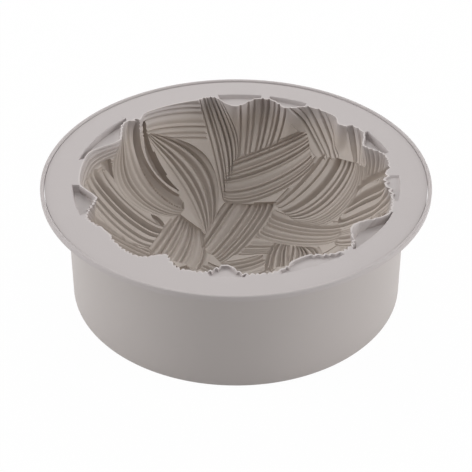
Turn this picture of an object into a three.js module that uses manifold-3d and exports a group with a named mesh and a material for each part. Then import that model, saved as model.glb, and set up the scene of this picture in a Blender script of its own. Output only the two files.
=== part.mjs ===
// Silicone cake mould: a sculpted bowl hung in a flat flange that stands on a round skirt.
// Millimetres, +Z up, origin on the floor under the middle of the bowl.
import * as THREE from 'three';
import { mergeVertices } from 'three/addons/utils/BufferGeometryUtils.js';
import Module from 'manifold-3d';

const wasm = await Module();
wasm.setup();

// Cake, which the bowl is moulded round
const CAKE_RADIUS = 86; // middle of the relief at the lip
const CAKE_DEPTH = 60; // middle of the relief at the pole, below the lip
const CORE_SINK = 4; // plain dome under the bands, in from the middle of the relief
const CROWN_LIFT = 2; // highest band crown, out from the middle of the relief
const CREASE_SINK = 0.8; // creases between the ribs of a band, in from its crown
const BAND_ARCH = 3; // how far the edges of a full arch fall below its crown
const BAND_ROOT = 9; // how deep a band reaches into the dome
const RIB_WIDTH = 8; // full tooth of the comb that draws the ribs
const RIB_DEPTH = 2;
const LIP_FLARE = 2.4; // how much the relief widens up to the lip
const LIP_DENT = 10; // deepest place where the lip is drawn in
const FLARE_CLIMB = 70; // where the flare and the dents begin on their way up to the lip
const LIP_WALL = 1; // thinnest bowl at the lip

// Bowl, flange, bead and skirt
const BOWL_WALL = 2.2;
const BOWL_NECK_CLIMB = 70; // where the bowl's outside begins to draw in towards the lip
const BOWL_TO_SKIRT = 0.4; // widest bowl to the skirt's inner face
const FLOOR_GAP = 6; // lowest bowl to the floor
const SKIRT_WALL = 3.4;
const SKIRT_SPREAD = 0.3; // how much wider the skirt is at the floor than at the flange
const SKIRT_EDGE_ROUND = 0.8; // both edges of the skirt's foot
const SKIRT_FILLET = 2; // outside corner under the flange
const FLANGE_OVERHANG = 14; // bead's outside beyond the skirt's top
const FLANGE_THICKNESS = 2.6;
const COLLAR_DEPTH = 9; // collar that ties the bowl to the flange, from the flange's top face down
const COLLAR_WALL = 0.8; // collar beside the skirt, below the pockets' slope
const COLLAR_WIDTH = 14; // how far the collar reaches in before it is cut to the bowl
const POCKET_DEPTH = 6.5;
const POCKET_REACH = 14; // how far a pocket is cut in from the skirt's inner face
const BEAD_WIDTH = 2.2;
const BEAD_RISE = 1; // bead above the flange
const BEAD_ROUND = 0.8;
const JOIN_GAP = 0.3; // between neighbours that meet on a cut or curved face

// Fineness of the facets
const ROUND_STEPS = 48;
const DOME_STEPS = 8;
const ARC_STEPS = 2;
const BAND_STEP = 22; // along a band
const OUTER_FACETS = 4; // across a band on the bowl's outside
const POCKET_STEPS = 48;
const TRIM_RISE = 12; // bands and domes run this far past the lip before they are trimmed
const MERGE_TOLERANCE = 1e-4;

// Places that follow from the sizes
const LIP_Z = FLOOR_GAP + BOWL_WALL + CROWN_LIFT + CAKE_DEPTH;
const SKIRT_INNER_RADIUS = CAKE_RADIUS + CROWN_LIFT + BOWL_WALL + BOWL_TO_SKIRT;
const SKIRT_OUTER_RADIUS = SKIRT_INNER_RADIUS + SKIRT_WALL;
const BEAD_OUTER_RADIUS = SKIRT_OUTER_RADIUS + FLANGE_OVERHANG;
const BEAD_INNER_RADIUS = BEAD_OUTER_RADIUS - BEAD_WIDTH;
const FLANGE_BOTTOM_Z = LIP_Z - FLANGE_THICKNESS;
const COLLAR_BOTTOM_Z = LIP_Z - COLLAR_DEPTH;
const COLLAR_OUTER_RADIUS = SKIRT_INNER_RADIUS - JOIN_GAP;
const COLLAR_INNER_RADIUS = COLLAR_OUTER_RADIUS - COLLAR_WALL;
const BOWL_LIMIT_RADIUS = COLLAR_INNER_RADIUS - JOIN_GAP;

// Places of the relief are given in hundredths of the way up from the pole
const LIP_CLIMB = 100;

// Teeth of the comb that draws the ribs: shares of the full width and depth
const COMB = [
  [0.8, 0.7],
  [0.6, 0.5],
  [1, 0.9],
  [0.7, 0.6],
  [1.2, 0.4],
  [0.6, 0.6],
  [0.9, 1],
  [0.7, 0.6],
];

// Ribbed bands of the relief. Each has two long edges of three places on the dome: azimuth in degrees, with
// 0 at the right and 90 at the far side, and climb from the pole (0) to the lip (100). crown is how far the
// band stands out from the middle of the relief and arch how far its edges fall, as shares of the highest
// crown and of a full arch. tooth is the comb's first tooth, at the first edge. Two bands have ribs of their
// own instead, as shares of the band's width and of the full depth.
const BANDS = [
  // Far wall
  { first: [[136, 106], [119, 108], [101, 106]], second: [[132, 84], [118, 80], [101, 76]],
    crown: -0.7, arch: 0.5, tooth: 0 },
  { first: [[96, 106], [95, 86], [95, 64]], second: [[64, 106], [66, 88], [70, 72]],
    crown: -0.6, arch: 0.5, tooth: 3 },
  { first: [[107, 108], [104, 78], [99, 43]], second: [[95, 107], [91, 84], [90, 61]],
    crown: 0.05, arch: 0.8, tooth: 6 },
  { first: [[70, 106], [61, 86], [46, 72]], second: [[43, 108], [39, 95], [33, 82]],
    crown: -0.3, arch: 0.7, tooth: 2 },
  // Left side
  { first: [[190, 106], [166, 108], [141, 108]], second: [[184, 80], [160, 84], [148, 80]],
    crown: -0.8, arch: 0.5, tooth: 3 },
  { first: [[156, 93], [153, 68], [148, 40]], second: [[182, 98], [186, 76], [196, 42]],
    crown: -0.1, arch: 1, tooth: 5 },
  { first: [[141, 108], [153, 76], [142, 45]], second: [[130, 106], [134, 71], [128, 45]],
    crown: 0.2, arch: 1, ribs: [[0.8, 0.45], [0.9, 0.6], [0.8, 0.5], [0.9, 0.6], [1, 0.6], [2.6, 1.5]] },
  // Middle
  { first: [[98, 68], [78, 79], [60, 91]], second: [[100, 38], [66, 47], [45, 73]],
    crown: 0.3, arch: 0.8, tooth: 0 },
  { first: [[143, 44], [158, 42], [190, 50]], second: [[131, 27], [154, 22], [205, 24]],
    crown: 0.2, arch: 0.8, tooth: 2 },
  { first: [[97, 44], [108, 34], [134, 28]], second: [[58, 47], [56, 21], [180, 4]],
    crown: 0.6, arch: 0.5, tooth: 5 },
  { first: [[130, 87], [127, 61], [130, 26]], second: [[127, 88], [105, 68], [122, 25]],
    crown: 0.4, arch: 1, ribs: [[2.2, 0.25], [0.9, 0.6], [1, 0.7], [1.6, 1.2], [0.9, 0.7], [0.9, 0.4]] },
  // Right side
  { first: [[47, 108], [41, 95], [36, 84]], second: [[27, 108], [26, 93], [24, 78]],
    crown: -0.6, arch: 0.5, tooth: 2 },
  { first: [[28, 108], [24, 95], [20, 80]], second: [[2, 108], [4, 100], [6, 86]],
    crown: -0.75, arch: 0.5, tooth: 0 },
  { first: [[64, 46], [55, 62], [50, 80]], second: [[42, 34], [28, 57], [22, 88]],
    crown: 0.1, arch: 0.8, tooth: 1 },
  { first: [[14, 106], [24, 76], [26, 50]], second: [[346, 106], [349, 72], [352, 44]],
    crown: -0.1, arch: 0.8, tooth: 7 },
  { first: [[64, 44], [36, 48], [14, 66]], second: [[64, 17], [10, 25], [352, 50]],
    crown: -0.15, arch: 0.7, tooth: 3 },
  // Near side
  { first: [[72, 22], [46, 25], [28, 32]], second: [[160, 8], [20, 8], [8, 20]],
    crown: -0.5, arch: 0.5, tooth: 5 },
  { first: [[36, 25], [26, 17], [322, 15]], second: [[16, 31], [2, 30], [338, 34]],
    crown: 0, arch: 0.7, tooth: 0 },
  { first: [[16, 30], [3, 27], [338, 26]], second: [[4, 38], [356, 44], [344, 47]],
    crown: -0.3, arch: 0.7, tooth: 6 },
  { first: [[206, 8], [350, 3], [12, 14]], second: [[252, 24], [298, 23], [335, 24]],
    crown: -0.45, arch: 0.7, tooth: 3 },
  { first: [[203, 114], [186, 80], [184, 34]], second: [[216, 108], [210, 75], [222, 50]],
    crown: -0.2, arch: 1, tooth: 0 },
  { first: [[231, 114], [210, 82], [198, 34]], second: [[246, 108], [236, 72], [247, 40]],
    crown: 0.05, arch: 1, tooth: 3 },
  { first: [[245, 112], [240, 81], [222, 45]], second: [[266, 108], [265, 77], [263, 34]],
    crown: -0.3, arch: 1, tooth: 0 },
  { first: [[186, 18], [278, 13], [322, 38]], second: [[212, 44], [256, 44], [292, 58]],
    crown: 0.35, arch: 1, tooth: 4 },
  { first: [[271, 112], [264, 80], [246, 51]], second: [[291, 108], [287, 73], [281, 38]],
    crown: -0.1, arch: 1, tooth: 1 },
  { first: [[303, 112], [290, 88], [270, 68]], second: [[322, 106], [309, 73], [292, 46]],
    crown: -0.5, arch: 1, tooth: 1 },
  { first: [[335, 113], [314, 92], [291, 66]], second: [[352, 104], [331, 73], [318, 50]],
    crown: 0.05, arch: 1, tooth: 2 },
  { first: [[349, 93], [328, 72], [299, 48]], second: [[2, 73], [351, 54], [332, 26]],
    crown: 0, arch: 1, tooth: 4 },
];

// Places where the lip is drawn in: azimuth and half width in degrees, and share of the deepest dent
const DENTS = [
  [24, 10, 0.65],
  [43, 5, 0.45],
  [68, 9, 0.65],
  [90, 10, 1],
  [133, 5, 0.35],
  [150, 15, 1],
  [196, 12, 0.9],
  [243, 8, 0.55],
  [266, 8, 0.65],
  [296, 14, 0.55],
  [325, 13, 1],
  [358, 12, 0.5],
];

// Crescent pockets between the flange and the bowl's lip, as start and end azimuths in degrees
const POCKETS = [
  [16, 32],
  [62, 77],
  [80, 97],
  [136, 169],
  [185, 204],
  [261, 273],
  [284, 308],
  [312, 338],
  [345, 358],
];

const { degToRad, euclideanModulo, lerp, radToDeg, smoothstep } = THREE.MathUtils;

// Quarter ellipse from the pole to the lip. Its points are radius and height over the lip.
const meridian = new THREE.EllipseCurve(0, 0, CAKE_RADIUS, CAKE_DEPTH, -Math.PI / 2, 0);
const MERIDIAN_LENGTH = meridian.getLength();

// Climb, from 0 at the pole to LIP_CLIMB at the lip, of a point of the unrolled dome
function climbOf(flat) {
  return (LIP_CLIMB * flat.length()) / MERIDIAN_LENGTH;
}

// Radius and height over the lip at a distance along the meridian, lifted out along its normal
function meridianPoint(distance, lift) {
  if (distance === 0) return new THREE.Vector2(0, -CAKE_DEPTH - lift);
  if (distance >= MERIDIAN_LENGTH) {
    return new THREE.Vector2(CAKE_RADIUS + lift, distance - MERIDIAN_LENGTH);
  }
  const share = distance / MERIDIAN_LENGTH;
  const tangent = meridian.getTangentAt(share);
  const normal = new THREE.Vector2(tangent.y, -tangent.x);
  return meridian.getPointAt(share).addScaledVector(normal, lift);
}

// The dome unrolled on a plane: azimuth stays, and the distance from the pole is the one along the meridian
function unrolled([azimuth, climb]) {
  const angle = degToRad(azimuth);
  const distance = (climb / LIP_CLIMB) * MERIDIAN_LENGTH;
  return new THREE.Vector2(distance * Math.cos(angle), distance * Math.sin(angle));
}

// How far the dome is drawn out, or in at a dent, at a point of the unrolled dome
function lipShift(flat) {
  const azimuth = radToDeg(flat.angle());
  const shares = DENTS.map(([centre, half, share]) => {
    const away = Math.abs(euclideanModulo(azimuth - centre + 180, 360) - 180) / half;
    return away < 1 ? share * Math.cos((away * Math.PI) / 2) ** 2 : 0;
  });
  const dent = LIP_DENT * shares.reduce((sum, share) => sum + share, 0);
  return (LIP_FLARE - dent) * smoothstep(climbOf(flat), FLARE_CLIMB, LIP_CLIMB);
}

// Place in space of a point of the unrolled dome
function domePoint(flat, lift) {
  const { x: radius, y: height } = meridianPoint(flat.length(), lift + lipShift(flat));
  const angle = flat.angle();
  return new THREE.Vector3(radius * Math.cos(angle), radius * Math.sin(angle), LIP_Z + height);
}

// Closed solid of a three.js geometry, with its shared vertices merged and its faces pointing out
function solidOf(geometry) {
  const bare = geometry.clone();
  bare.deleteAttribute('normal');
  bare.deleteAttribute('uv');
  const merged = mergeVertices(bare, MERGE_TOLERANCE);
  const corners = merged.index.array;
  const kept = [];
  for (let i = 0; i < corners.length; i += 3) {
    const [a, b, c] = corners.slice(i, i + 3);
    if (a !== b && b !== c && c !== a) kept.push(a, b, c);
  }
  const vertProperties = new Float32Array(merged.attributes.position.array);
  const wound = (triVerts) => new wasm.Manifold(new wasm.Mesh({ numProp: 3, vertProperties, triVerts }));
  const solid = wound(new Uint32Array(kept));
  return solid.volume() < 0 ? wound(new Uint32Array(kept.reverse())) : solid;
}

// three.js geometry of a solid
function geometryOf(solid) {
  const mesh = solid.getMesh();
  const geometry = new THREE.BufferGeometry();
  geometry.setAttribute('position', new THREE.BufferAttribute(mesh.vertProperties, 3));
  geometry.setIndex(new THREE.BufferAttribute(mesh.triVerts, 1));
  geometry.computeVertexNormals();
  return geometry;
}

// Solid of revolution round the mould's axis; the profile's points are radius and height
function revolved(profile) {
  const lathe = new THREE.LatheGeometry(profile, ROUND_STEPS);
  lathe.rotateX(Math.PI / 2);
  return lathe;
}

// Ring round the mould's axis, from the corners of its section
function ringSolid(corners) {
  const profile = [...corners, corners[0]].map(([radius, height]) => new THREE.Vector2(radius, height));
  return solidOf(revolved(profile));
}

// Points of a round corner, from one angle to another in degrees
function corner(x, y, radius, startDegrees, endDegrees) {
  const [start, end] = [degToRad(startDegrees), degToRad(endDegrees)];
  return new THREE.EllipseCurve(x, y, radius, radius, start, end, end < start).getPoints(ARC_STEPS);
}

// Loft through closed rings of equal count; each ring's last point is the middle of its root
function lofted(rings) {
  const count = rings[0].length - 1;
  const positions = rings.flat().flatMap((point) => point.toArray());
  const index = [];
  const at = (ring, i) => ring * (count + 1) + (i % count);
  for (let ring = 0; ring + 1 < rings.length; ring += 1) {
    for (let i = 0; i < count; i += 1) {
      index.push(at(ring, i), at(ring, i + 1), at(ring + 1, i + 1));
      index.push(at(ring, i), at(ring + 1, i + 1), at(ring + 1, i));
    }
  }
  const last = rings.length - 1;
  for (let i = 0; i < count; i += 1) {
    index.push(count, at(0, i + 1), at(0, i));
    index.push(last * (count + 1) + count, at(last, i), at(last, i + 1));
  }
  const geometry = new THREE.BufferGeometry();
  geometry.setAttribute('position', new THREE.Float32BufferAttribute(positions, 3));
  geometry.setIndex(index);
  return geometry;
}

// Curve through the three places of a band's edge, on the unrolled dome
function edgeCurve(places) {
  const [start, middle, end] = places.map(unrolled);
  const control = middle.clone().multiplyScalar(2).sub(start.clone().add(end).multiplyScalar(0.5));
  return new THREE.QuadraticBezierCurve(start, control, end);
}

// Ribs of a band as shares of its width and heights over the creases
function ribsOf({ first, second, ribs, tooth }) {
  if (ribs) return ribs.map(([width, depth]) => [width, depth * RIB_DEPTH]);
  const width = unrolled(first[1]).distanceTo(unrolled(second[1]));
  const combed = [];
  for (let filled = 0; filled < width; ) {
    const [share, depth] = COMB[(tooth + combed.length) % COMB.length];
    combed.push([share, depth * RIB_DEPTH]);
    filled += share * RIB_WIDTH;
  }
  return combed;
}

// Across a ribbed band: places from 0, at its first edge, to 1 and how high each stands over the creases
function ribProfile(band) {
  const ribs = ribsOf(band);
  const total = ribs.reduce((sum, [width]) => sum + width, 0);
  const profile = [];
  let edge = 0;
  for (const [width, height] of ribs) {
    profile.push([edge / total, 0], [(edge + width / 2) / total, height]);
    edge += width;
  }
  profile.push([1, 0]);
  return profile;
}

// Across the smooth outside of a band, as high as its highest rib
function smoothProfile(band) {
  const highest = Math.max(...ribsOf(band).map(([, height]) => height));
  return Array.from({ length: OUTER_FACETS + 1 }, (_, i) => [i / OUTER_FACETS, highest]);
}

// One band as a solid that stands on the dome, grown all round by the given amount
function bandSolid({ first, second, crown, arch }, profile, growth) {
  const [firstEdge, secondEdge] = [edgeCurve(first), edgeCurve(second)];
  const steps = Math.ceil((firstEdge.getLength() + secondEdge.getLength()) / 2 / BAND_STEP);
  const middleWidth = firstEdge.getPoint(0.5).distanceTo(secondEdge.getPoint(0.5));
  const rings = [];
  for (let step = 0; step <= steps; step += 1) {
    const along = step / steps;
    const start = firstEdge.getPoint(along);
    const end = secondEdge.getPoint(along);
    const taper = Math.min(1, start.distanceTo(end) / middleWidth);
    const side = end.clone().sub(start).normalize();
    const ahead = firstEdge.getTangent(along).add(secondEdge.getTangent(along)).normalize();
    const place = (across, lift) => {
      const flat = start.clone().lerp(end, across);
      flat.addScaledVector(side, lerp(-growth, growth, across));
      flat.addScaledVector(ahead, lerp(-growth, growth, along));
      return domePoint(flat, lift);
    };
    const ring = profile.map(([across, height]) => {
      const fall = arch * BAND_ARCH * (2 * across - 1) ** 2;
      return place(across, crown * CROWN_LIFT - CREASE_SINK + growth - fall + height * taper);
    });
    ring.push(place(1, -BAND_ROOT), place(0, -BAND_ROOT), place(0.5, -BAND_ROOT));
    rings.push(ring);
  }
  return solidOf(lofted(rings));
}

// Plain dome, solid up past the lip, lifted out along its normal by an amount that depends on the climb
function domeSolid(liftAt) {
  const profile = Array.from({ length: DOME_STEPS + 1 }, (_, i) => (i / DOME_STEPS) * MERIDIAN_LENGTH)
    .concat(MERIDIAN_LENGTH + TRIM_RISE)
    .map((distance) => new THREE.Vector2(distance, 0));
  profile.push(new THREE.Vector2(0, TRIM_RISE));
  const dome = revolved(profile);
  const { position } = dome.attributes;
  for (let i = 0; i < position.count; i += 1) {
    const flat = new THREE.Vector2(position.getX(i), position.getY(i));
    const isTop = position.getZ(i) > TRIM_RISE / 2;
    const point = isTop ? new THREE.Vector3(0, 0, LIP_Z + TRIM_RISE) : domePoint(flat, liftAt(climbOf(flat)));
    position.setXYZ(i, point.x, point.y, point.z);
  }
  return solidOf(dome);
}

// Round block about the mould's axis, from below the floor up to the given height
function roundBlock(radius, top) {
  return solidOf(revolved([
    new THREE.Vector2(0, -TRIM_RISE),
    new THREE.Vector2(radius, -TRIM_RISE),
    new THREE.Vector2(radius, top),
    new THREE.Vector2(0, top),
  ]));
}

// The cake itself, with the ribs of every band, no wider than the bowl's wall leaves room for
function cakeSolid() {
  return BANDS.reduce(
    (cake, band) => cake.add(bandSolid(band, ribProfile(band), 0)),
    domeSolid(() => -CORE_SINK),
  ).intersect(roundBlock(BOWL_LIMIT_RADIUS - LIP_WALL, LIP_Z + 2 * TRIM_RISE));
}

// The bowl's outside, grown by the given clearance: a smooth dome that draws in towards the lip, where
// the bands stand out of it, no wider than the collar leaves room for
function bowlOutside(clearance) {
  const growth = BOWL_WALL + clearance;
  const neck = (climb) => smoothstep(climb, BOWL_NECK_CLIMB, LIP_CLIMB);
  const isUpper = ([, climb]) => climb > BOWL_NECK_CLIMB;
  const upperBands = BANDS.filter(({ first, second }) => [...first, ...second].some(isUpper));
  return upperBands
    .reduce(
      (outside, band) => outside.add(bandSolid(band, smoothProfile(band), growth)),
      domeSolid((climb) => growth + lerp(CROWN_LIFT, -CORE_SINK, neck(climb))),
    )
    .intersect(roundBlock(BOWL_LIMIT_RADIUS + clearance, LIP_Z + 2 * TRIM_RISE));
}

// Bowl: the outside less the cake, trimmed flat at the lip
function bowlGeometry() {
  return geometryOf(bowlOutside(0).intersect(roundBlock(SKIRT_OUTER_RADIUS, LIP_Z)).subtract(cakeSolid()));
}

// Pocket: a round cut through both ends of a crescent on the skirt's inner face, reaching in between them
function pocketSolid([startDegrees, endDegrees]) {
  const middle = degToRad((startDegrees + endDegrees) / 2);
  const halfAngle = degToRad((endDegrees - startDegrees) / 2);
  const halfChord = SKIRT_INNER_RADIUS * Math.sin(halfAngle);
  const inner = SKIRT_INNER_RADIUS - POCKET_REACH;
  const bulge = SKIRT_INNER_RADIUS * Math.cos(halfAngle) - inner;
  const radius = (halfChord ** 2 + bulge ** 2) / (2 * bulge);
  const disc = new THREE.CylinderGeometry(radius, radius, 2 * POCKET_DEPTH, POCKET_STEPS);
  disc.rotateX(Math.PI / 2);
  disc.translate(inner + radius, 0, LIP_Z);
  disc.rotateZ(middle);
  return solidOf(disc);
}

// Flange: a flat plate whose collar is cut to the bowl and has the crescent pockets
function flangeGeometry() {
  const collarReach = SKIRT_INNER_RADIUS - COLLAR_WIDTH;
  const collar = ringSolid([
    [collarReach, COLLAR_BOTTOM_Z],
    [COLLAR_OUTER_RADIUS, COLLAR_BOTTOM_Z],
    [COLLAR_OUTER_RADIUS, FLANGE_BOTTOM_Z],
    [SKIRT_OUTER_RADIUS, FLANGE_BOTTOM_Z],
    [SKIRT_OUTER_RADIUS, LIP_Z],
    [collarReach, LIP_Z],
  ]);
  const plateEdge = BEAD_INNER_RADIUS - JOIN_GAP;
  const plate = ringSolid([
    [SKIRT_INNER_RADIUS, LIP_Z],
    [COLLAR_INNER_RADIUS, LIP_Z - POCKET_DEPTH],
    [COLLAR_INNER_RADIUS, COLLAR_BOTTOM_Z],
    [COLLAR_OUTER_RADIUS, COLLAR_BOTTOM_Z],
    [COLLAR_OUTER_RADIUS, FLANGE_BOTTOM_Z],
    [plateEdge, FLANGE_BOTTOM_Z],
    [plateEdge, LIP_Z],
  ]);
  const pocketed = POCKETS.reduce((body, span) => body.subtract(pocketSolid(span)), collar);
  return geometryOf(pocketed.add(plate).subtract(bowlOutside(JOIN_GAP)));
}

// Raised bead round the flange's edge
function beadGeometry() {
  const [left, right] = [BEAD_INNER_RADIUS + BEAD_ROUND, BEAD_OUTER_RADIUS - BEAD_ROUND];
  const [low, high] = [FLANGE_BOTTOM_Z + BEAD_ROUND, LIP_Z + BEAD_RISE - BEAD_ROUND];
  const profile = [
    ...corner(left, low, BEAD_ROUND, 180, 270),
    ...corner(right, low, BEAD_ROUND, 270, 360),
    ...corner(right, high, BEAD_ROUND, 0, 90),
    ...corner(left, high, BEAD_ROUND, 90, 180),
  ];
  profile.push(profile[0].clone());
  return revolved(profile);
}

// Skirt: the round wall that the mould stands on, a little wider at the floor
function skirtGeometry() {
  const footInner = SKIRT_INNER_RADIUS + SKIRT_SPREAD;
  const footOuter = SKIRT_OUTER_RADIUS + SKIRT_SPREAD;
  const round = SKIRT_EDGE_ROUND;
  const profile = [
    new THREE.Vector2(SKIRT_INNER_RADIUS, FLANGE_BOTTOM_Z),
    ...corner(footInner + round, round, round, 180, 270),
    ...corner(footOuter - round, round, round, 270, 360),
    ...corner(SKIRT_OUTER_RADIUS + SKIRT_FILLET, FLANGE_BOTTOM_Z - SKIRT_FILLET, SKIRT_FILLET, 180, 90),
    new THREE.Vector2(SKIRT_INNER_RADIUS, FLANGE_BOTTOM_Z),
  ];
  return revolved(profile);
}

const SILICONE_ROUGHNESS = 0.55;

// Mesh of a sub-part in its own matt silicone
function siliconePart(name, geometry, color) {
  const material = new THREE.MeshStandardMaterial({ color, roughness: SILICONE_ROUGHNESS, metalness: 0 });
  const mesh = new THREE.Mesh(geometry, material);
  mesh.name = name;
  return mesh;
}

const group = new THREE.Group();
group.add(
  siliconePart('skirt', skirtGeometry(), '#b8b2ae'),
  siliconePart('flange', flangeGeometry(), '#c4beba'),
  siliconePart('rim_bead', beadGeometry(), '#c6bebb'),
  siliconePart('cavity_bowl', bowlGeometry(), '#aea49e'),
);

export default group;
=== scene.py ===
"""Silicone cake mould: a sculpted bowl hung in a flat flange with a raised bead, on a round skirt."""

import bisect
import math

import bmesh
import bpy
from mathutils import Matrix, Vector


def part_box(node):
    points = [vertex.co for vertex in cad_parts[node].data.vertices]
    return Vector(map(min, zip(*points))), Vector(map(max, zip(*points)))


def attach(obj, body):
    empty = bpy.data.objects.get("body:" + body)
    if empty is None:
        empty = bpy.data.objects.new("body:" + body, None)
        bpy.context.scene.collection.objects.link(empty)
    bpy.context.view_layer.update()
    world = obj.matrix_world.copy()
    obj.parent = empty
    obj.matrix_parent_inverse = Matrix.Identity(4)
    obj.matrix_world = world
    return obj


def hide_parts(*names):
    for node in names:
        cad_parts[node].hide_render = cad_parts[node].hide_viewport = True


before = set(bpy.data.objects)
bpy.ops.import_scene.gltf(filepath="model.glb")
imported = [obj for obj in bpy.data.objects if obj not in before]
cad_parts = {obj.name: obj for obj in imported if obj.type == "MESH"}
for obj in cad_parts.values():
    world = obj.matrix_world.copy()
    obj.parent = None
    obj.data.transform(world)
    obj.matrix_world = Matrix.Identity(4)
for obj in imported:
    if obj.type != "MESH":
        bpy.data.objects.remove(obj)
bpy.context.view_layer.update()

# Sizes of the mould are in millimetres, and a mesh becomes metres when its piece is finished
MM = 0.001


def frame_mm(metres):
    """A measure of the frame, to a hundredth of a millimetre."""
    return round(metres / MM, 2)


# Skirt, flange and bead, whose reach comes from the frame
JOIN_GAP = 0.3
SKIRT_WALL = 3.4
SKIRT_SPREAD = 0.3  # how much wider the skirt is at the floor than at the flange
SKIRT_EDGE_ROUND = 0.8
SKIRT_FILLET = 2
SKIRT_OUTER_RADIUS = frame_mm(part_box("skirt")[1][0]) - SKIRT_FILLET
SKIRT_INNER_RADIUS = SKIRT_OUTER_RADIUS - SKIRT_WALL

FLANGE_LOW, FLANGE_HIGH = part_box("flange")
FLANGE_RADIUS = frame_mm(FLANGE_HIGH[0])
LIP_Z = frame_mm(FLANGE_HIGH[2])
COLLAR_BOTTOM_Z = frame_mm(FLANGE_LOW[2])
COLLAR_RADIUS = SKIRT_INNER_RADIUS - JOIN_GAP
COLLAR_WIDTH = 14  # how far the collar reaches in before it is cut to the bowl

BEAD_LOW, BEAD_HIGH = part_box("rim_bead")
BEAD_OUTER_RADIUS = frame_mm(BEAD_HIGH[0])
BEAD_INNER_RADIUS = FLANGE_RADIUS + JOIN_GAP
BEAD_TOP_Z = frame_mm(BEAD_HIGH[2])
BEAD_ROUND = 0.9
FLANGE_BOTTOM_Z = frame_mm(BEAD_LOW[2])

# Crescent pockets between the flange and the lip: start and end azimuths in degrees, and depth
POCKETS = [(16, 32, 4.5), (62, 77, 2.5), (80, 97, 2.5), (136, 169, 3.5), (185, 204, 4.5), (261, 273, 1.6),
           (284, 308, 1.6), (312, 338, 4.5), (345, 361, 1.2)]
POCKET_DEPTH = max(depth for _, _, depth in POCKETS)
POCKET_REACH = 14  # how far a pocket is cut in from the skirt's inner face
POCKET_SLOPE = 1.2
POCKET_EDGE_ROUND = 0.4

# Bowl, and the cake that it forms
CAKE_RADIUS = 86
CAKE_DEPTH = 60
CORE_SINK = 3.4  # plain core of the cake below the middle of the relief
BOWL_WALL = 0.9
BODY_LIFT = 2  # plain outside of the bowl beyond the middle of the relief, apart from its wall
NECK_CLIMB = 70  # from here up to the lip the plain outside draws in to the core
ROOM_HEIGHT = 4 * LIP_Z  # past both ends of the bowl
TRIM_RISE = 12  # the dome runs on this far past the lip, and the block that trims it twice as far
TRIM_WIDTH = 250

# Places where the lip is drawn in: azimuth, half width in degrees and depth
DENTS = [(24, 10, 6.5), (43, 5, 4.5), (68, 9, 6.5), (90, 10, 10), (133, 5, 3.5), (150, 15, 10),
         (196, 12, 7.5), (243, 8, 5.5), (266, 7, 5), (296, 14, 4.4), (325, 13, 10), (358, 12, 5)]
DENT_CLIMB = 70  # where the dents and the flare begin on their way up to the lip
LIP_FLARE = 2.6  # how much the relief widens up to the lip

# Ribs and bands
RIDGE_SHARPNESS = 3  # power that thins the ridges between combed strips
LIP_FADE = 0.6  # share of the ribs' depth that is lost at the lip
FADE_CLIMB = 94  # where the ribs begin to fade
FOLLOW_CLIMB = 90  # from here up to the lip the outside of the bowl follows the ribs
BAND_ROOT = 9  # a band's foot below the middle of the relief
END_DROP = 2  # how far a band's crown falls at its two ends
END_SHARPNESS = 8  # even power that keeps the fall close to the ends

# Fineness of the facets
ROUND_STEPS = 240
BEVEL_SEGMENTS = 4
POCKET_STEPS = 96
DOME_RINGS = 24
DOME_STEPS = 120
MERIDIAN_STEPS = 900
BAND_STEP = 2  # along a band
RIB_FACETS = 8  # across a rib
OUTER_STEP = 5  # the same two on the outside of the bowl
OUTER_FACETS = 4
LENGTH_PARTS = 8  # that a band's length is measured in
HEADING_REACH = 0.01  # share of a band's length on either side that gives its heading
MERGE_DISTANCE = 1e-4
POLE_DISTANCE = 1e-6  # no point is taken nearer to the pole, where it would have no azimuth

# Finishes
SHARP_DEGREES = 50  # a steeper edge between two faces is shaded sharp
FLANGE_SHARP_DEGREES = 30
BLOOM_SIZE = 25  # patches of the faint bloom
BLOOM_DETAIL = 3
BLOOM_RANGE = (0.35, 0.65)  # of the noise, from the dull tint to the bright one
GRIT_SIZE = 0.625  # the tool's blasted grain is finer than a pixel, so it is drawn this coarse to show
GRIT_DETAIL = 2
GRIT_HEIGHT = 0.4
GRIT_STRENGTH = 0.06
PAINTED_SHADE_DEPTH = 12  # below the lip, down to which the colour turns to the painted shade of the hollow
PAINTED_GLOW_DEPTH = 1.2  # below the lip, where a painted glow makes the colour paler, for light shining through thin rubber
SILICONE_ROUGHNESS = 0.55
SILICONE_IOR = 1.41
MIX_A, MIX_B, MIX_RESULT = 6, 7, 2  # colour sockets of a Mix node, whose names its other kinds share

# Stage, in metres and degrees
CAMERA_PLACE = (0, -0.63395, 0.49093)
CAMERA_DIP = 36.0416  # below the horizon
CAMERA_SENSOR = 36  # millimetres, as the lens is
CAMERA_LENS = 104.55
FLOOR_HALF_WIDTH = 3
PAPER_GLOW = 0.98  # share of white where the floor is seen, and the rest keeps the shadow
AMBIENT = 0.2
WHITE = (1, 1, 1, 1)
# Azimuth, elevation and watts
SOFTBOXES = {
    "left_softbox": (182, 22, 12.6),
    "right_softbox": (351, 18, 13.6),
    "back_softbox": (90, 44, 8.2),
    "top_softbox": (270, 78, 5.2),
}
SOFTBOX_DISTANCE = 1.6
SOFTBOX_WIDTH = 0.9
SOFTBOX_AIM = Vector((0, 0, 0.05))

# Comb that draws thin ridges between plain strips: each tooth's width and depth, in units of COMB_WIDTH and
# of the cut that a band gives
COMB = [(2.6, 1.2), (1.8, 0.8), (3.4, 1.5), (1.9, 0.9), (2.4, 1.2), (4.2, 0.6), (1.7, 1.0), (3.0, 1.6),
        (2.1, 0.9), (2.0, 1.1), (3.6, 1.4), (1.6, 0.7), (2.6, 1.3), (2.2, 1.3), (4.0, 0.5), (1.8, 1.0),
        (3.2, 1.5), (1.7, 0.8), (2.4, 1.1), (2.9, 1.4)]
COMB_WIDTH = 1.3

# Climb goes from 0 at the pole to 100 at the lip
LIP_CLIMB = 100

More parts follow.
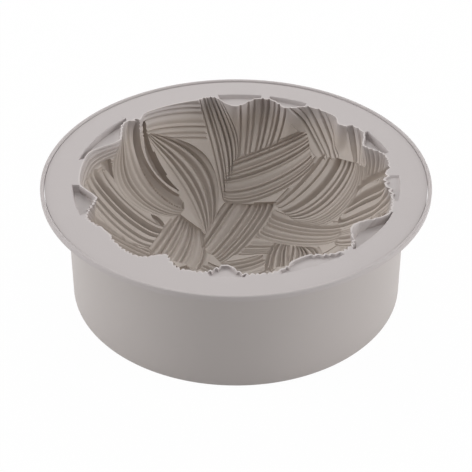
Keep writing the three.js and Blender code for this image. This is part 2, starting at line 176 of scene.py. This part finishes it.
# Ribbed bands. Each has two long edges of three places on the dome: azimuth in degrees, with 0 at the right
# and 90 at the far side, and climb. crown is how far the band stands out of the middle of the relief, and
# arch how far its edges fall. comb is the tooth that starts at the first edge, and cut how deep the comb
# goes. Other bands have ribs of their own, as shares of the width and depths, from the first edge to the
# second. grow is the share of the length over which the ribs rise, where they start from nothing.
BANDS = [
    # Far wall
    dict(first=((136, 106), (119, 108), (101, 106)), second=((132, 84), (118, 80), (101, 76)),
         crown=-1.4, arch=1.5, comb=0, cut=1.5),
    dict(first=((96, 106), (95, 86), (95, 64)), second=((64, 106), (66, 88), (70, 72)),
         crown=-1.2, arch=1.5,
         ribs=((13, 0.4), (3.4, -2), (2.6, 0.3), (3.8, -2.4), (1.2, 0.3), (3, -2), (3.2, 0.3),
               (3.8, -2.6), (1.2, 0.3), (3, -2.6), (2.6, 0.3), (2.8, -1.6), (1.2, 0.3), (3.8, -3),
               (3.4, 0.3), (3.2, -2), (6, 0.5))),
    dict(first=((107, 108), (103, 76), (101, 40)), second=((98, 107), (89, 81), (92, 60)),
         crown=0.1, arch=2.5,
         ribs=((3, 0.3), (3, -1.6), (3, 0.3), (4, -2.6), (1.2, 0.3), (2.5, -1.6), (3, 0.3), (3.5, -2.8),
               (2, 0.3), (3.2, -2.8), (2.3, 0.3), (2.5, -1.5), (1.5, 0.3), (2, -1.3), (1.5, 0.3))),
    dict(first=((75, 106), (63, 87), (48, 74)), second=((42, 108), (40, 97), (35, 86)),
         crown=-0.6, arch=2,
         ribs=((1.6, 0.5), (0.6, -2.4), (0.4, 0.3), (0.4, -1.4), (0.6, 0.4), (0.6, -2.6), (0.8, 0.4),
               (0.6, -2.8), (0.5, 0.3), (0.3, -1), (3.6, 0.5))),
    # Left side
    dict(first=((190, 106), (166, 108), (141, 108)), second=((184, 80), (160, 84), (148, 80)),
         crown=-1.6, arch=1.5, comb=3, cut=1.7),
    dict(first=((156, 93), (153, 68), (148, 43)), second=((182, 98), (186, 76), (194, 50)),
         crown=-0.2, arch=3, grow=0.3,
         ribs=((1.55, 0.8), (0.3, -1.5), (0.35, 0.6), (1.1, -8), (0.25, 0.3), (0.75, -6.5), (0.75, 0.4),
               (0.8, -6.5), (0.7, 0.4), (0.8, -5.5), (0.85, 0.8), (0.5, 1.4), (0.45, 1.4), (0.4, 1.4),
               (0.4, 1.2))),
    dict(first=((147, 106), (158, 74), (141, 41)), second=((133.4, 106), (139.2, 71), (131, 43)),
         crown=0.4, arch=2,
         ribs=((0.6, 1.2), (0.9, 1.4), (0.9, 1.8), (0.7, 2.6), (0.7, 2.6), (0.9, 1.4), (0.7, 1.2))),
    dict(first=((133.4, 106), (139.2, 71), (131, 43)), second=((132, 106), (135.2, 76), (126, 50)),
         crown=0.2, arch=0, ribs=((1, -3.4),)),
    # Middle
    dict(first=((97, 64.5), (79.5, 73.5), (60, 88.5)), second=((100, 41), (71, 43.5), (49, 71)),
         crown=0.8, arch=2.5, comb=8, cut=1.8),
    dict(first=((137, 44), (157, 42), (190, 48)), second=((130, 25), (160, 14), (212, 19)),
         crown=0.4, arch=2, comb=18, cut=2.1),
    dict(first=((97, 42), (110, 33), (148, 22)), second=((60, 45), (60, 24), (215, 9)),
         crown=1.2, arch=1.5, comb=12, cut=2.1),
    dict(first=((130, 88), (127.6, 55), (133, 25)), second=((127, 89), (103.7, 66.6), (120, 25)),
         crown=0.8, arch=2,
         ribs=((2.4, 1.2), (0.9, 2), (1.1, -3.2), (0.35, 0.4), (1, -3), (0.45, 0.4), (1.6, -3.4),
               (0.4, 0.4), (1.1, -3.2), (0.8, 0.6))),
    # Right side
    dict(first=((41, 108), (37, 92), (28, 84)), second=((31, 108), (23, 98), (20, 88)),
         crown=-0.9, arch=1.5,
         ribs=((0.7, -3.2), (0.4, 0.4), (0.5, -1.8), (0.5, 0.4), (0.5, -1.8), (0.4, 0.4), (0.4, -1.4),
               (1, 0.4))),
    dict(first=((28, 108), (24, 95), (20, 80)), second=((2, 108), (4, 100), (6, 86)),
         crown=-1.5, arch=1.5, comb=16, cut=2.1),
    dict(first=((62, 43), (55, 62), (50, 80)), second=((34, 40), (14, 57), (20.5, 91)),
         crown=0.2, arch=2.5,
         ribs=((0.5, 0.4), (0.6, -2.2), (0.6, 0.4), (0.4, -1.6), (0.7, 0.4), (1, -4.4), (0.4, 0.4),
               (0.4, -1.8), (0.3, 0.3), (0.6, -3), (0.4, 0.4), (0.4, -2), (0.5, 0.8), (0.6, 1.4),
               (0.5, 1.4), (0.6, 1.4), (0.5, 1.4), (0.6, 1.4), (0.5, 1))),
    dict(first=((6, 103), (18, 87), (22.5, 70)), second=((342, 102), (353, 71), (2, 50)),
         crown=-0.4, arch=1.5,
         ribs=((0.1, 0.4), (1.2, -3.4), (0.6, 0.4), (1.4, -5), (0.3, 0.4), (0.8, -4), (1, 0.4), (0.9, -4),
               (0.4, 0.4), (0.8, -3.4), (0.6, 0.6), (0.5, 1.2), (0.5, 1.2), (0.5, 1.2), (0.4, 1))),
    dict(first=((342, 102), (353, 71), (3, 52)), second=((331, 103), (340, 74), (350, 54)),
         crown=-0.6, arch=1.5,
         ribs=((0.4, 0.4), (0.7, -2.6), (0.5, 0.4), (0.7, -3), (0.5, 0.4), (0.6, -2.4), (0.5, 1.2),
               (0.4, 1))),
    dict(first=((60, 40), (34, 43), (9, 60)), second=((60, 17), (11, 28), (354, 54)),
         crown=-0.3, arch=2, comb=19, cut=2.1),
    # Near side
    dict(first=((72, 22), (46, 25), (28, 32)), second=((160, 8), (20, 8), (8, 20)),
         crown=-1, arch=1.5, comb=13, cut=2.1),
    dict(first=((36, 25), (26, 17), (322, 15)), second=((16, 31), (2, 30), (338, 34)),
         crown=0, arch=2, comb=0, cut=3.6),
    dict(first=((16, 30), (3, 27), (338, 26)), second=((4, 38), (356, 44), (344, 47)),
         crown=-0.6, arch=2, comb=6, cut=3),
    dict(first=((206, 8), (350, 3), (12, 14)), second=((252, 24), (298, 23), (335, 24)),
         crown=-0.9, arch=2, comb=11, cut=2.2),
    dict(first=((203, 114), (186, 80), (184, 34)), second=((216, 108), (210, 75), (222, 50)),
         crown=-0.4, arch=3, comb=16, cut=3.2),
    dict(first=((231, 114), (210, 82), (198, 34)), second=((246, 108), (236, 72), (247, 40)),
         crown=0.1, arch=3, comb=3, cut=3.2),
    dict(first=((245, 112), (240, 81), (222, 45)), second=((266, 108), (265, 77), (263, 34)),
         crown=-0.6, arch=3, comb=8, cut=3.8),
    dict(first=((186, 18), (278, 13), (322, 38)), second=((212, 44), (256, 44), (292, 58)),
         crown=0.7, arch=3, comb=12, cut=2.1),
    dict(first=((271, 112), (264, 80), (246, 51)), second=((291, 108), (287, 73), (281, 38)),
         crown=-0.2, arch=3, comb=17, cut=3.8),
    dict(first=((303, 112), (290, 88), (270, 68)), second=((322, 106), (309, 73), (292, 46)),
         crown=-1, arch=3, comb=1, cut=3.8),
    dict(first=((335, 113), (314, 92), (291, 66)), second=((352, 104), (331, 73), (318, 50)),
         crown=0.1, arch=3, comb=10, cut=2.1),
    dict(first=((349, 93), (328, 72), (299, 48)), second=((2, 73), (351, 54), (332, 26)),
         crown=0, arch=3, comb=4, cut=2.1),
    # Crevice between the left sweep and the leaf in the middle, and two notches beside the left sweep
    dict(first=((130.6, 97), (134.2, 75), (126.8, 54)), second=((128.4, 96), (129, 73), (124.7, 55)),
         crown=5, arch=0.5, ribs=((1, -1.2),)),
    dict(first=((160, 91), (158, 83), (156.5, 75)), second=((155.5, 91), (155.5, 84), (156, 75)),
         crown=1, arch=0.3, ribs=((1, -0.8),)),
    dict(first=((153.6, 51.6), (151.9, 47.2), (154.9, 42.4)),
         second=((153.9, 51.5), (155.8, 47.9), (156.8, 43.6)),
         crown=0.5, arch=0.3, ribs=((1, -0.8),)),
]


def smoothstep(x, low, high):
    t = min(1, max(0, (x - low) / (high - low)))
    return t * t * (3 - 2 * t)


# The dome that the relief lies on
def meridian_distances():
    """Distances from the pole along the dome's meridian, in even steps of its ellipse's angle."""
    distances = [0.0]
    step = math.pi / 2 / MERIDIAN_STEPS
    for i in range(MERIDIAN_STEPS):
        angle = (i + 0.5) * step
        speed = math.hypot(CAKE_RADIUS * math.cos(angle), CAKE_DEPTH * math.sin(angle))
        distances.append(distances[-1] + step * speed)
    return distances


MERIDIAN = meridian_distances()
MERIDIAN_LENGTH = MERIDIAN[-1]


def climb_at(distance):
    """Climb at a distance from the pole along the meridian."""
    return LIP_CLIMB * distance / MERIDIAN_LENGTH


def meridian_point(distance, lift):
    """Radius and height over the lip at a distance along the meridian, lifted out along its normal."""
    if distance >= MERIDIAN_LENGTH:
        return CAKE_RADIUS + lift, distance - MERIDIAN_LENGTH
    i = bisect.bisect_right(MERIDIAN, distance) - 1
    share = (distance - MERIDIAN[i]) / (MERIDIAN[i + 1] - MERIDIAN[i])
    angle = (i + share) / MERIDIAN_STEPS * math.pi / 2
    across, down = math.sin(angle), math.cos(angle)
    normal = Vector((CAKE_DEPTH * across, -CAKE_RADIUS * down)).normalized()
    return CAKE_RADIUS * across + lift * normal.x, lift * normal.y - CAKE_DEPTH * down


def dent(azimuth, climb):
    """How far the dome is drawn in at a place."""
    depth = 0.0
    for centre, half, deepest in DENTS:
        away = abs((azimuth - centre + 180) % 360 - 180) / half
        if away < 1:
            depth += deepest * math.cos(away * math.pi / 2) ** 2
    return smoothstep(climb, DENT_CLIMB, LIP_CLIMB) * (depth - LIP_FLARE)


def unrolled(place):
    """A place on the dome (azimuth, climb) on the plane that the dome unrolls to."""
    azimuth, climb = place
    angle = math.radians(azimuth)
    return Vector((math.cos(angle), math.sin(angle))) * (climb / LIP_CLIMB * MERIDIAN_LENGTH)


def dome_point(flat, lift):
    """Point in space over a point of the unrolled dome."""
    distance = max(flat.length, POLE_DISTANCE)
    azimuth = math.degrees(math.atan2(flat.y, flat.x))
    radius, height = meridian_point(distance, lift - dent(azimuth, climb_at(distance)))
    return Vector((flat.x / distance * radius, flat.y / distance * radius, LIP_Z + height))


# Solids
def placed(name, data):
    """A new object in the scene."""
    thing = bpy.data.objects.new(name, data)
    bpy.context.scene.collection.objects.link(thing)
    return thing


def helper(name, bm):
    """A bmesh as an object, with its faces outwards."""
    bmesh.ops.recalc_face_normals(bm, faces=bm.faces)
    if bm.calc_volume(signed=True) < 0:
        bmesh.ops.reverse_faces(bm, faces=bm.faces)
    mesh = bpy.data.meshes.new(name)
    bm.to_mesh(mesh)
    bm.free()
    return placed(name, mesh)


def combined(base, others, operation):
    """The base joined with, or cut by, the others, which are used up."""
    for other in others:
        step = base.modifiers.new(other.name, "BOOLEAN")
        step.operation = operation
        step.solver = "MANIFOLD"
        step.object = other
    bpy.context.view_layer.update()
    evaluated = base.evaluated_get(bpy.context.evaluated_depsgraph_get())
    mesh = bpy.data.meshes.new_from_object(evaluated)
    base.modifiers.clear()
    base.data = mesh
    for other in others:
        bpy.data.objects.remove(other)
    return base


def spin_round(bm, steps):
    """Turn a chain of edges full circle about the mould's axis."""
    bmesh.ops.spin(bm, geom=bm.verts[:] + bm.edges[:], cent=(0, 0, 0), axis=(0, 0, 1),
                   angle=2 * math.pi, steps=steps, use_merge=True)
    bmesh.ops.remove_doubles(bm, verts=bm.verts, dist=MERGE_DISTANCE)


def revolved(profile, rounds=()):
    """Closed ring from a profile of radius and height. rounds gives the corners to round and by how much."""
    bm = bmesh.new()
    corners = [bm.verts.new((radius, 0, height)) for radius, height in profile]
    for a, b in zip(corners, corners[1:] + corners[:1]):
        bm.edges.new((a, b))
    for index, size in rounds:
        bmesh.ops.bevel(bm, geom=[corners[index]], offset=size, offset_type="OFFSET", affect="VERTICES",
                        segments=BEVEL_SEGMENTS, profile=0.5, material=-1, clamp_overlap=True)
    spin_round(bm, ROUND_STEPS)
    return bm


def dome_solid(lift_at):
    """Plain dome, solid up past the lip, lifted out by an amount that depends on the climb."""
    bm = bmesh.new()
    distances = [MERIDIAN_LENGTH * i / DOME_RINGS for i in range(DOME_RINGS + 1)]
    chain = [bm.verts.new((distance, 0, 0)) for distance in distances + [MERIDIAN_LENGTH + TRIM_RISE]]
    for a, b in zip(chain, chain[1:]):
        bm.edges.new((a, b))
    spin_round(bm, DOME_STEPS)
    for v in bm.verts:
        v.co = dome_point(v.co.xy, lift_at(climb_at(v.co.xy.length)))
    bmesh.ops.holes_fill(bm, edges=[e for e in bm.edges if e.is_boundary], sides=0)
    return bm


# Bands of ribs
def edge_curve(places):
    """Curve through three places on the unrolled dome, from 0 to 1."""
    start, middle, end = [unrolled(place) for place in places]
    return lambda t: start * ((1 - t) * (1 - 2 * t)) + middle * (4 * t * (1 - t)) + end * (t * (2 * t - 1))


def band_ribs(band, width):
    """Shares and depths of a band's ribs, combed across its width where it doesn't have its own."""
    if "ribs" in band:
        return band["ribs"]
    ribs = []
    while sum(share for share, _ in ribs) < width:
        share, depth = COMB[(band["comb"] + len(ribs)) % len(COMB)]
        ribs.append((share * COMB_WIDTH, depth * band["cut"]))
    return ribs


def rib_columns(ribs, facets):
    """Across a band: places from 0 to 1 and how far each stands out of the band's plain face.

    A strip with a depth above 0 lies between two thin ridges; one below 0 is a round swelling.
    """
    total = sum(share for share, _ in ribs)
    depths = [depth for _, depth in ribs]
    ridges = [0.0] + [max(0, min(a, b)) for a, b in zip(depths, depths[1:])] + [0.0]
    columns = []
    edge = 0.0
    for i, (share, depth) in enumerate(ribs):
        for facet in range(facets):
            across = facet / facets
            turn = abs(2 * across - 1) * math.pi / 2
            if depth > 0:
                ridge = ridges[i] if across < 0.5 else ridges[i + 1]
                rise = ridge * math.sin(turn) ** RIDGE_SHARPNESS
            else:
                rise = -depth * math.cos(turn) ** 2
            columns.append((edge + across * share / total, rise))
        edge += share / total
    columns.append((1.0, 0.0))
    return columns


def slab(steps, columns):
    """Flat slab of cells, and the layers that give each vertex its share along and its column across.

    The upper face's vertices come back too.
    """
    bm = bmesh.new()
    bmesh.ops.create_grid(bm, x_segments=steps, y_segments=columns - 1, size=1)
    along_layer = bm.verts.layers.float.new("along")
    column_layer = bm.verts.layers.int.new("column")
    for v in bm.verts:
        v[along_layer] = (v.co.x + 1) / 2
        v[column_layer] = round((v.co.y + 1) / 2 * (columns - 1))
    upper = set(bm.verts)
    bmesh.ops.extrude_face_region(bm, geom=bm.verts[:] + bm.edges[:] + bm.faces[:], use_keep_orig=True)
    return bm, along_layer, column_layer, upper


def band_solid(band, outside=False):
    """One band as a solid that stands on the dome: of the cake, or of the outside of the bowl.

    On the outside it is grown by the wall all round, and below the lip it is as high as the highest rib.
    """
    first, second = edge_curve(band["first"]), edge_curve(band["second"])

    def middle(t):
        return (first(t) + second(t)) / 2

    def spread(t):
        return second(t) - first(t)

    grown, step, facets = (BOWL_WALL, OUTER_STEP, OUTER_FACETS) if outside else (0.0, BAND_STEP, RIB_FACETS)
    marks = [middle(i / LENGTH_PARTS) for i in range(LENGTH_PARTS + 1)]
    length = sum((b - a).length for a, b in zip(marks, marks[1:]))
    middle_width = spread(0.5).length
    columns = rib_columns(band_ribs(band, middle_width), facets)
    highest = max(rise for _, rise in columns)
    room = COLLAR_RADIUS - BOWL_WALL + grown
    bm, along_layer, column_layer, upper = slab(math.ceil(length / step), len(columns))
    for v in bm.verts:
        along = v[along_layer]
        across, rise = columns[v[column_layer]]
        # -1 on the first edge, 1 on the second and 0 between them
        side = math.floor(across) - math.floor(1 - across)
        ahead, behind = min(1, along + HEADING_REACH), max(0, along - HEADING_REACH)
        heading = (middle(ahead) - middle(behind)).normalized()
        flat = first(along).lerp(second(along), across)
        flat += (spread(along).normalized() * side + heading * (2 * along - 1)) * grown
        lift = -BAND_ROOT
        if v in upper:
            climb = climb_at(flat.length)
            if outside:
                rise = highest + (rise - highest) * smoothstep(climb, FOLLOW_CLIMB, LIP_CLIMB)
            taper = min(1, spread(along).length / middle_width)
            taper *= 1 - LIP_FADE * smoothstep(climb, FADE_CLIMB, LIP_CLIMB)
            if "grow" in band:
                taper *= smoothstep(along, 0, band["grow"])
            fall = band["arch"] * (2 * across - 1) ** 2 + END_DROP * (2 * along - 1) ** END_SHARPNESS
            lift = band["crown"] + grown - fall + rise * taper
        v.co = dome_point(flat, lift)
        if v.co.xy.length > room:
            v.co.xy *= room / v.co.xy.length
    return bm


# Pieces of the mould
def skirt_wall():
    """Round wall that the mould stands on, with a fillet under the flange."""
    return helper("skirt_wall", revolved(
        [(SKIRT_INNER_RADIUS, FLANGE_BOTTOM_Z), (SKIRT_INNER_RADIUS + SKIRT_SPREAD, 0),
         (SKIRT_OUTER_RADIUS + SKIRT_SPREAD, 0), (SKIRT_OUTER_RADIUS, FLANGE_BOTTOM_Z - SKIRT_FILLET),
         (SKIRT_OUTER_RADIUS + SKIRT_FILLET, FLANGE_BOTTOM_Z)],
        [(1, SKIRT_EDGE_ROUND), (2, SKIRT_EDGE_ROUND)]))


def rim_roll():
    """Raised bead round the flange."""
    return helper("rim_roll", revolved(
        [(BEAD_INNER_RADIUS, FLANGE_BOTTOM_Z), (BEAD_OUTER_RADIUS, FLANGE_BOTTOM_Z),
         (BEAD_OUTER_RADIUS, BEAD_TOP_Z), (BEAD_INNER_RADIUS, BEAD_TOP_Z)],
        [(corner, BEAD_ROUND) for corner in range(4)]))


def room_in_skirt():
    """Round block that the bowl has room for inside the skirt."""
    bm = bmesh.new()
    bmesh.ops.create_cone(bm, cap_ends=True, segments=ROUND_STEPS, radius1=COLLAR_RADIUS,
                          radius2=COLLAR_RADIUS, depth=ROOM_HEIGHT)
    return helper("room_in_skirt", bm)


def bowl_outside():
    """The bowl as a solid block: a plain body that draws in towards the lip, with the grown bands."""
    def body_lift(climb):
        return BOWL_WALL + BODY_LIFT - smoothstep(climb, NECK_CLIMB, LIP_CLIMB) * (BODY_LIFT + CORE_SINK)

    body = helper("bowl_body", dome_solid(body_lift))
    grown = [helper(f"bowl_band_{i}", band_solid(band, outside=True)) for i, band in enumerate(BANDS)]
    combined(body, grown, "UNION")
    return combined(body, [room_in_skirt()], "INTERSECT")


def cake():
    """The cake that the bowl forms: a plain core with the ribbed bands."""
    core = helper("cake_core", dome_solid(lambda climb: -CORE_SINK))
    ribbed = [helper(f"cake_band_{i}", band_solid(band)) for i, band in enumerate(BANDS)]
    return combined(core, ribbed, "UNION")


def above_lip():
    """Block that trims the bowl flat at the lip."""
    bm = bmesh.new()
    bmesh.ops.create_cube(bm, size=1)
    bmesh.ops.scale(bm, vec=(TRIM_WIDTH, TRIM_WIDTH, 2 * TRIM_RISE), verts=bm.verts)
    bmesh.ops.translate(bm, vec=(0, 0, LIP_Z + TRIM_RISE), verts=bm.verts)
    return helper("above_lip", bm)


def relief_bowl(outside):
    """Thin sculpted bowl: the block, trimmed at the lip, less the cake."""
    bowl = combined(outside, [above_lip(), cake()], "DIFFERENCE")
    bowl.name = "relief_bowl"
    return bowl


def pocket_cutter(start, end, depth):
    """Round cutter that meets the hole's edge at the two ends of a crescent and reaches in between them."""
    half_turn = math.radians(end - start) / 2
    half = SKIRT_INNER_RADIUS * math.sin(half_turn)
    sagitta = SKIRT_INNER_RADIUS * math.cos(half_turn) - (SKIRT_INNER_RADIUS - POCKET_REACH)
    radius = (half * half + sagitta * sagitta) / (2 * sagitta)
    middle = math.radians(start + end) / 2
    centre = SKIRT_INNER_RADIUS - POCKET_REACH + radius
    bm = bmesh.new()
    bmesh.ops.create_cone(bm, cap_ends=True, segments=POCKET_STEPS, radius1=radius - POCKET_SLOPE,
                          radius2=radius + POCKET_SLOPE, depth=2 * depth)
    bmesh.ops.translate(bm, vec=(centre * math.cos(middle), centre * math.sin(middle), LIP_Z), verts=bm.verts)
    return helper("pocket_cutter", bm)


def flange_ring(outside):
    """Flat ring with pockets along the lip, and a collar under it that is cut to the outside of the bowl."""
    under_plate = [(COLLAR_RADIUS, COLLAR_BOTTOM_Z), (COLLAR_RADIUS, FLANGE_BOTTOM_Z),
                   (FLANGE_RADIUS, FLANGE_BOTTOM_Z), (FLANGE_RADIUS, LIP_Z)]
    land_radius = SKIRT_INNER_RADIUS - COLLAR_WIDTH
    pocket_foot = SKIRT_INNER_RADIUS - POCKET_SLOPE
    flange = helper("flange_ring", revolved(
        [(land_radius, COLLAR_BOTTOM_Z)] + under_plate + [(land_radius, LIP_Z)]))
    sloped_ring = helper("sloped_ring", revolved(
        [(SKIRT_INNER_RADIUS, LIP_Z), (pocket_foot, LIP_Z - POCKET_DEPTH), (pocket_foot, COLLAR_BOTTOM_Z)]
        + under_plate, [(0, POCKET_EDGE_ROUND)]))
    combined(flange, [pocket_cutter(*pocket) for pocket in POCKETS], "DIFFERENCE")
    combined(flange, [sloped_ring], "UNION")
    return combined(flange, [placed("bowl_room", outside.data.copy())], "DIFFERENCE")


def drop_crumbs(mesh):
    """Keep the largest island of a mesh; a cut can leave slivers beside it."""
    bm = bmesh.new()
    bm.from_mesh(mesh)
    waiting = set(bm.faces)
    islands = []
    while waiting:
        island = []
        front = [waiting.pop()]
        while front:
            face = front.pop()
            island.append(face)
            near = {f for edge in face.edges for f in edge.link_faces} & waiting
            waiting -= near
            front.extend(near)
        islands.append(island)
    islands.sort(key=len)
    bmesh.ops.delete(bm, geom=[face for island in islands[:-1] for face in island], context="FACES")
    bm.to_mesh(mesh)
    bm.free()


def finished(piece, node, material, sharp_degrees=SHARP_DEGREES):
    """A piece in metres that stands for a node of the part."""
    mesh = piece.data
    drop_crumbs(mesh)
    mesh.transform(Matrix.Scale(MM, 4))
    mesh.materials.clear()
    mesh.materials.append(material)
    mesh.shade_smooth()
    mesh.set_sharp_from_angle(angle=math.radians(sharp_degrees))
    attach(piece, "root")
    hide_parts(node)


# Materials
def linear(hex_colour):
    """sRGB hex to linear."""
    parts = [int(hex_colour[i:i + 2], 16) / 255 for i in (1, 3, 5)]
    return [c / 12.92 if c <= 0.04045 else ((c + 0.055) / 1.055) ** 2.4 for c in parts] + [1.0]


def emptied_tree(owner):
    """The node tree of a material or world, with nothing in it yet."""
    owner.use_nodes = True
    owner.node_tree.nodes.clear()
    return owner.node_tree


def add_node(tree, kind, links=(), inputs=None, **settings):
    """A node with its settings and input values; links are (input, source node, output)."""
    node = tree.nodes.new(kind)
    for key, value in settings.items():
        setattr(node, key, value)
    for socket, value in (inputs or {}).items():
        node.inputs[socket].default_value = value
    for socket, source, output in links:
        tree.links.new(source.outputs[output], node.inputs[socket])
    return node


def moulded_silicone(name, dull, bright, painted_hollow_shade, painted_lip_glow):
    """Platinum silicone rubber, press-moulded in a fine-blasted tool: a matt warm grey with a faint bloom.

    Painted glow: paler at the top, for light shining through the thin lip. Painted shade: warmer in the
    hollow.
    """
    material = bpy.data.materials.new(name)
    tree = emptied_tree(material)
    place = add_node(tree, "ShaderNodeTexCoord")
    bloom = add_node(tree, "ShaderNodeTexNoise", [("Vector", place, "Object")],
                     {"Scale": 1 / (BLOOM_SIZE * MM), "Detail": BLOOM_DETAIL})
    tint = add_node(tree, "ShaderNodeValToRGB", [("Fac", bloom, "Fac")])
    for element, colour, position in zip(tint.color_ramp.elements, (dull, bright), BLOOM_RANGE):
        element.color = linear(colour)
        element.position = position
    height = add_node(tree, "ShaderNodeSeparateXYZ", [("Vector", place, "Object")])
    # Painted shade: from the lip down into the hollow the colour turns to the warmer shade colour
    depth = add_node(tree, "ShaderNodeMapRange", [("Value", height, "Z")],
                     {"From Min": LIP_Z * MM, "From Max": (LIP_Z - PAINTED_SHADE_DEPTH) * MM})
    with_painted_shade = add_node(tree, "ShaderNodeMix", [("Factor", depth, "Result"), (MIX_A, tint, "Color")],
                        {MIX_B: linear(painted_hollow_shade)}, data_type="RGBA")
    # Painted glow: the colour turns paler at the lip, standing in for light shining through the thin rubber
    edge = add_node(tree, "ShaderNodeMapRange", [("Value", height, "Z")],
                    {"From Min": (LIP_Z - PAINTED_GLOW_DEPTH) * MM, "From Max": LIP_Z * MM})
    with_painted_glow = add_node(tree, "ShaderNodeMix", [("Factor", edge, "Result"), (MIX_A, with_painted_shade, MIX_RESULT)],
                     {MIX_B: linear(painted_lip_glow)}, data_type="RGBA")
    grit = add_node(tree, "ShaderNodeTexNoise", [("Vector", place, "Object")],
                    {"Scale": 1 / (GRIT_SIZE * MM), "Detail": GRIT_DETAIL})
    bump = add_node(tree, "ShaderNodeBump", [("Height", grit, "Fac")],
                    {"Strength": GRIT_STRENGTH, "Distance": GRIT_HEIGHT * MM})
    shader = add_node(tree, "ShaderNodeBsdfPrincipled",
                      [("Base Color", with_painted_glow, MIX_RESULT), ("Normal", bump, "Normal")],
                      {"Roughness": SILICONE_ROUGHNESS, "IOR": SILICONE_IOR})
    add_node(tree, "ShaderNodeOutputMaterial", [("Surface", shader, "BSDF")])
    return material


def seen_directly(tree):
    """1 for a ray that shows the white background itself: from the camera, a reflection or a clear piece."""
    path = add_node(tree, "ShaderNodeLightPath")
    seen = add_node(tree, "ShaderNodeMath", [(0, path, "Is Camera Ray"), (1, path, "Is Glossy Ray")],
                    operation="MAXIMUM")
    return add_node(tree, "ShaderNodeMath", [(0, seen, 0), (1, path, "Is Transmission Ray")],
                    operation="MAXIMUM")


def white_paper():
    """Studio paper, matt and white: it glows where it is seen, and keeps a trace of the shadow."""
    material = bpy.data.materials.new("white_paper_floor")
    tree = emptied_tree(material)
    glow_share = add_node(tree, "ShaderNodeMath", [(0, seen_directly(tree), 0)], {1: PAPER_GLOW},
                          operation="MULTIPLY")
    lit = add_node(tree, "ShaderNodeBsdfDiffuse", inputs={"Color": linear("#f4f4f4")})
    glow = add_node(tree, "ShaderNodeEmission", inputs={"Color": WHITE, "Strength": 1})
    mix = add_node(tree, "ShaderNodeMixShader", [(0, glow_share, 0), (1, lit, "BSDF"), (2, glow, "Emission")])
    add_node(tree, "ShaderNodeOutputMaterial", [("Surface", mix, "Shader")])
    return material


def white_studio():
    """World that gives a little even light, and is white where it is seen."""
    world = bpy.data.worlds.new("white_studio")
    tree = emptied_tree(world)
    ambient = add_node(tree, "ShaderNodeBackground", inputs={"Color": WHITE, "Strength": AMBIENT})
    white = add_node(tree, "ShaderNodeBackground", inputs={"Color": WHITE, "Strength": 1})
    mix = add_node(tree, "ShaderNodeMixShader",
                   [(0, seen_directly(tree), 0), (1, ambient, "Background"), (2, white, "Background")])
    add_node(tree, "ShaderNodeOutputWorld", [("Surface", mix, "Shader")])
    return world


# Stage
def photo_camera():
    """Camera at the photograph's angle."""
    camera = placed("camera", bpy.data.cameras.new("camera"))
    camera.location = CAMERA_PLACE
    camera.rotation_euler = (math.radians(90 - CAMERA_DIP), 0, 0)
    camera.data.sensor_width = CAMERA_SENSOR
    camera.data.lens = CAMERA_LENS
    return camera


def paper_floor():
    bm = bmesh.new()
    bmesh.ops.create_grid(bm, x_segments=1, y_segments=1, size=FLOOR_HALF_WIDTH)
    floor = helper("floor", bm)
    floor.data.materials.append(white_paper())


def softbox(name, azimuth, elevation, watts):
    """Square lamp that faces the mould."""
    lamp = bpy.data.lights.new(name, "AREA")
    lamp.energy = watts
    lamp.shape = "SQUARE"
    lamp.size = SOFTBOX_WIDTH
    box = placed(name, lamp)
    turn, rise = math.radians(azimuth), math.radians(elevation)
    away = Vector((math.cos(turn) * math.cos(rise), math.sin(turn) * math.cos(rise), math.sin(rise)))
    box.location = away * SOFTBOX_DISTANCE
    box.rotation_euler = (SOFTBOX_AIM - box.location).to_track_quat("-Z", "Y").to_euler()


# The last two colours of each are the painted shade in the hollow and the painted glow at the lip; the bowl's
# copy differs only in these
outer_silicone = moulded_silicone("moulded_silicone", "#bbb4b3", "#bfb8b7", "#bdb6b3", "#bdb6b5")
bowl_silicone = moulded_silicone("moulded_silicone_bowl", "#bbb4b3", "#bfb8b7", "#bfb5ad", "#cac3c1")

finished(skirt_wall(), "skirt", outer_silicone)
finished(rim_roll(), "rim_bead", outer_silicone)
bowl_block = bowl_outside()
finished(flange_ring(bowl_block), "flange", outer_silicone, FLANGE_SHARP_DEGREES)
finished(relief_bowl(bowl_block), "cavity_bowl", bowl_silicone)

bpy.context.scene.camera = photo_camera()
paper_floor()
bpy.context.scene.world = white_studio()
for lamp_name, aim in SOFTBOXES.items():
    softbox(lamp_name, *aim)
bpy.context.scene.view_settings.view_transform = "Standard"
